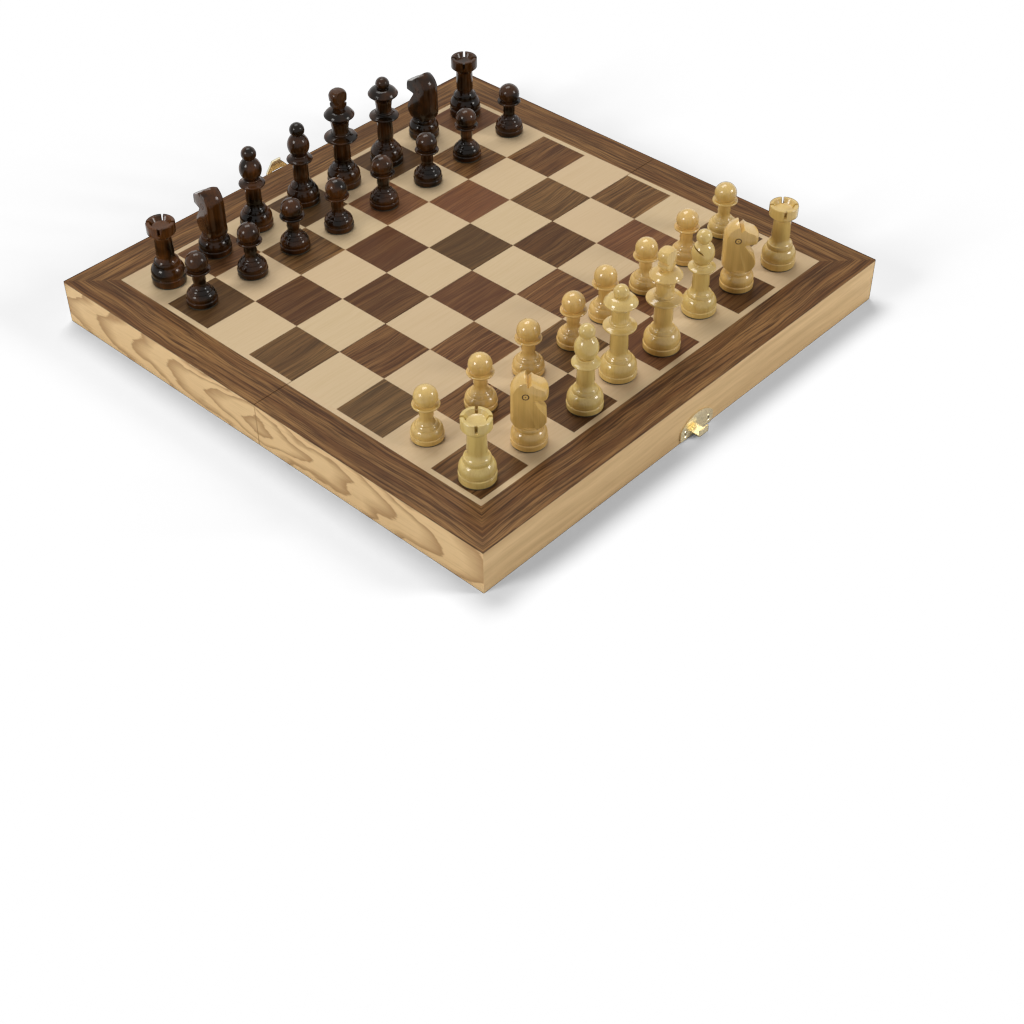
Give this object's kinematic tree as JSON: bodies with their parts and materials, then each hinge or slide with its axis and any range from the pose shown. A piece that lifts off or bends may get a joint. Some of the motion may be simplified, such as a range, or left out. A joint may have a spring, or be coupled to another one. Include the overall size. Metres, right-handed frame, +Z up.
{
  "type": "magnetic folding chess set",
  "caption": "Hinged wooden chess box that opens flat into an inlaid playing board, with magnetic turned pieces set up on it and a brass clasp at its edge.",
  "frame": {"origin": "middle of the fold line, on the surface that the rims of the open board stand on", "axes": "+X along the fold from the a-file to the h-file, +Y from the near half to the far half, +Z up out of the playing face"},
  "size_m": [0.3, 0.3099, 0.0837],
  "materials": {
    "pale_wood": "satin lacquer",
    "plywood": "matt",
    "walnut": "satin lacquer",
    "maple": "satin lacquer",
    "boxwood": "gloss lacquer",
    "dark_stained_wood": "gloss lacquer",
    "brass": "polished plating",
    "steel": "mill finish",
    "green_felt": "felt"
  },
  "bodies": {
    "near_half": {"near_clasp_wall": "pale_wood", "near_fold_wall": "pale_wood", "near_end_walls": "pale_wood", "near_panel": "plywood", "near_steel_sheet": "steel", "near_felt_lining": "green_felt", "near_border": "walnut", "near_light_inlay": "maple", "near_dark_squares": "walnut", "near_hinge_leaves": "brass", "near_screws": "brass", "hook_plate": "brass", "hinge_pins": "brass"},
    "far_half": {"far_clasp_wall": "pale_wood", "far_fold_wall": "pale_wood", "far_end_walls": "pale_wood", "far_panel": "plywood", "far_steel_sheet": "steel", "far_felt_lining": "green_felt", "far_border": "walnut", "far_light_inlay": "maple", "far_dark_squares": "walnut", "far_hinge_leaves": "brass", "far_screws": "brass", "hasp_plate": "brass", "hasp_pin": "brass"},
    "hasp": {"hasp": "brass"},
    "light_rook_a": {"light_rook_a": "boxwood"},
    "light_knight_b": {"light_knight_b": "boxwood"},
    "light_bishop_c": {"light_bishop_c": "boxwood"},
    "light_queen": {"light_queen": "boxwood"},
    "light_king": {"light_king": "boxwood"},
    "light_bishop_f": {"light_bishop_f": "boxwood"},
    "light_knight_g": {"light_knight_g": "boxwood"},
    "light_rook_h": {"light_rook_h": "boxwood"},
    "light_pawn_a": {"light_pawn_a": "boxwood"},
    "light_pawn_b": {"light_pawn_b": "boxwood"},
    "light_pawn_c": {"light_pawn_c": "boxwood"},
    "light_pawn_d": {"light_pawn_d": "boxwood"},
    "light_pawn_e": {"light_pawn_e": "boxwood"},
    "light_pawn_f": {"light_pawn_f": "boxwood"},
    "light_pawn_g": {"light_pawn_g": "boxwood"},
    "light_pawn_h": {"light_pawn_h": "boxwood"},
    "dark_rook_a": {"dark_rook_a": "dark_stained_wood"},
    "dark_knight_b": {"dark_knight_b": "dark_stained_wood"},
    "dark_bishop_c": {"dark_bishop_c": "dark_stained_wood"},
    "dark_bishop_d": {"dark_bishop_d": "dark_stained_wood"},
    "dark_king": {"dark_king": "dark_stained_wood"},
    "dark_queen": {"dark_queen": "dark_stained_wood"},
    "dark_knight_g": {"dark_knight_g": "dark_stained_wood"},
    "dark_rook_h": {"dark_rook_h": "dark_stained_wood"},
    "dark_pawn_a": {"dark_pawn_a": "dark_stained_wood"},
    "dark_pawn_b": {"dark_pawn_b": "dark_stained_wood"},
    "dark_pawn_c": {"dark_pawn_c": "dark_stained_wood"},
    "dark_pawn_d": {"dark_pawn_d": "dark_stained_wood"},
    "dark_pawn_e": {"dark_pawn_e": "dark_stained_wood"},
    "dark_pawn_f": {"dark_pawn_f": "dark_stained_wood"},
    "dark_pawn_g": {"dark_pawn_g": "dark_stained_wood"},
    "dark_pawn_h": {"dark_pawn_h": "dark_stained_wood"}
  },
  "joints": [
    {"name": "board_fold", "type": "hinge", "parent": "near_half", "child": "far_half", "pos_m": [0, 0, -0.0001], "axis": [-1, 0, 0], "range_deg": [0, 180]},
    {"name": "clasp_swing", "type": "hinge", "parent": "far_half", "child": "hasp", "pos_m": [0, 0.1525, 0.008], "axis": [-1, 0, 0], "range_deg": [-4, 175]},
    {"name": "lift_light_rook_a", "type": "slide", "parent": "near_half", "child": "light_rook_a", "axis": [0, 0, 1], "range_m": [0, 0.07]},
    {"name": "lift_light_knight_b", "type": "slide", "parent": "near_half", "child": "light_knight_b", "axis": [0, 0, 1], "range_m": [0, 0.07]},
    {"name": "lift_light_bishop_c", "type": "slide", "parent": "near_half", "child": "light_bishop_c", "axis": [0, 0, 1], "range_m": [0, 0.07]},
    {"name": "lift_light_queen", "type": "slide", "parent": "near_half", "child": "light_queen", "axis": [0, 0, 1], "range_m": [0, 0.07]},
    {"name": "lift_light_king", "type": "slide", "parent": "near_half", "child": "light_king", "axis": [0, 0, 1], "range_m": [0, 0.07]},
    {"name": "lift_light_bishop_f", "type": "slide", "parent": "near_half", "child": "light_bishop_f", "axis": [0, 0, 1], "range_m": [0, 0.07]},
    {"name": "lift_light_knight_g", "type": "slide", "parent": "near_half", "child": "light_knight_g", "axis": [0, 0, 1], "range_m": [0, 0.07]},
    {"name": "lift_light_rook_h", "type": "slide", "parent": "near_half", "child": "light_rook_h", "axis": [0, 0, 1], "range_m": [0, 0.07]},
    {"name": "lift_light_pawn_a", "type": "slide", "parent": "near_half", "child": "light_pawn_a", "axis": [0, 0, 1], "range_m": [0, 0.07]},
    {"name": "lift_light_pawn_b", "type": "slide", "parent": "near_half", "child": "light_pawn_b", "axis": [0, 0, 1], "range_m": [0, 0.07]},
    {"name": "lift_light_pawn_c", "type": "slide", "parent": "near_half", "child": "light_pawn_c", "axis": [0, 0, 1], "range_m": [0, 0.07]},
    {"name": "lift_light_pawn_d", "type": "slide", "parent": "near_half", "child": "light_pawn_d", "axis": [0, 0, 1], "range_m": [0, 0.07]},
    {"name": "lift_light_pawn_e", "type": "slide", "parent": "near_half", "child": "light_pawn_e", "axis": [0, 0, 1], "range_m": [0, 0.07]},
    {"name": "lift_light_pawn_f", "type": "slide", "parent": "near_half", "child": "light_pawn_f", "axis": [0, 0, 1], "range_m": [0, 0.07]},
    {"name": "lift_light_pawn_g", "type": "slide", "parent": "near_half", "child": "light_pawn_g", "axis": [0, 0, 1], "range_m": [0, 0.07]},
    {"name": "lift_light_pawn_h", "type": "slide", "parent": "near_half", "child": "light_pawn_h", "axis": [0, 0, 1], "range_m": [0, 0.07]},
    {"name": "lift_dark_rook_a", "type": "slide", "parent": "far_half", "child": "dark_rook_a", "axis": [0, 0, 1], "range_m": [0, 0.07]},
    {"name": "lift_dark_knight_b", "type": "slide", "parent": "far_half", "child": "dark_knight_b", "axis": [0, 0, 1], "range_m": [0, 0.07]},
    {"name": "lift_dark_bishop_c", "type": "slide", "parent": "far_half", "child": "dark_bishop_c", "axis": [0, 0, 1], "range_m": [0, 0.07]},
    {"name": "lift_dark_bishop_d", "type": "slide", "parent": "far_half", "child": "dark_bishop_d", "axis": [0, 0, 1], "range_m": [0, 0.07]},
    {"name": "lift_dark_king", "type": "slide", "parent": "far_half", "child": "dark_king", "axis": [0, 0, 1], "range_m": [0, 0.07]},
    {"name": "lift_dark_queen", "type": "slide", "parent": "far_half", "child": "dark_queen", "axis": [0, 0, 1], "range_m": [0, 0.07]},
    {"name": "lift_dark_knight_g", "type": "slide", "parent": "far_half", "child": "dark_knight_g", "axis": [0, 0, 1], "range_m": [0, 0.07]},
    {"name": "lift_dark_rook_h", "type": "slide", "parent": "far_half", "child": "dark_rook_h", "axis": [0, 0, 1], "range_m": [0, 0.07]},
    {"name": "lift_dark_pawn_a", "type": "slide", "parent": "far_half", "child": "dark_pawn_a", "axis": [0, 0, 1], "range_m": [0, 0.07]},
    {"name": "lift_dark_pawn_b", "type": "slide", "parent": "far_half", "child": "dark_pawn_b", "axis": [0, 0, 1], "range_m": [0, 0.07]},
    {"name": "lift_dark_pawn_c", "type": "slide", "parent": "far_half", "child": "dark_pawn_c", "axis": [0, 0, 1], "range_m": [0, 0.07]},
    {"name": "lift_dark_pawn_d", "type": "slide", "parent": "far_half", "child": "dark_pawn_d", "axis": [0, 0, 1], "range_m": [0, 0.07]},
    {"name": "lift_dark_pawn_e", "type": "slide", "parent": "far_half", "child": "dark_pawn_e", "axis": [0, 0, 1], "range_m": [0, 0.07]},
    {"name": "lift_dark_pawn_f", "type": "slide", "parent": "far_half", "child": "dark_pawn_f", "axis": [0, 0, 1], "range_m": [0, 0.07]},
    {"name": "lift_dark_pawn_g", "type": "slide", "parent": "far_half", "child": "dark_pawn_g", "axis": [0, 0, 1], "range_m": [0, 0.07]},
    {"name": "lift_dark_pawn_h", "type": "slide", "parent": "far_half", "child": "dark_pawn_h", "axis": [0, 0, 1], "range_m": [0, 0.07]}
  ]
}
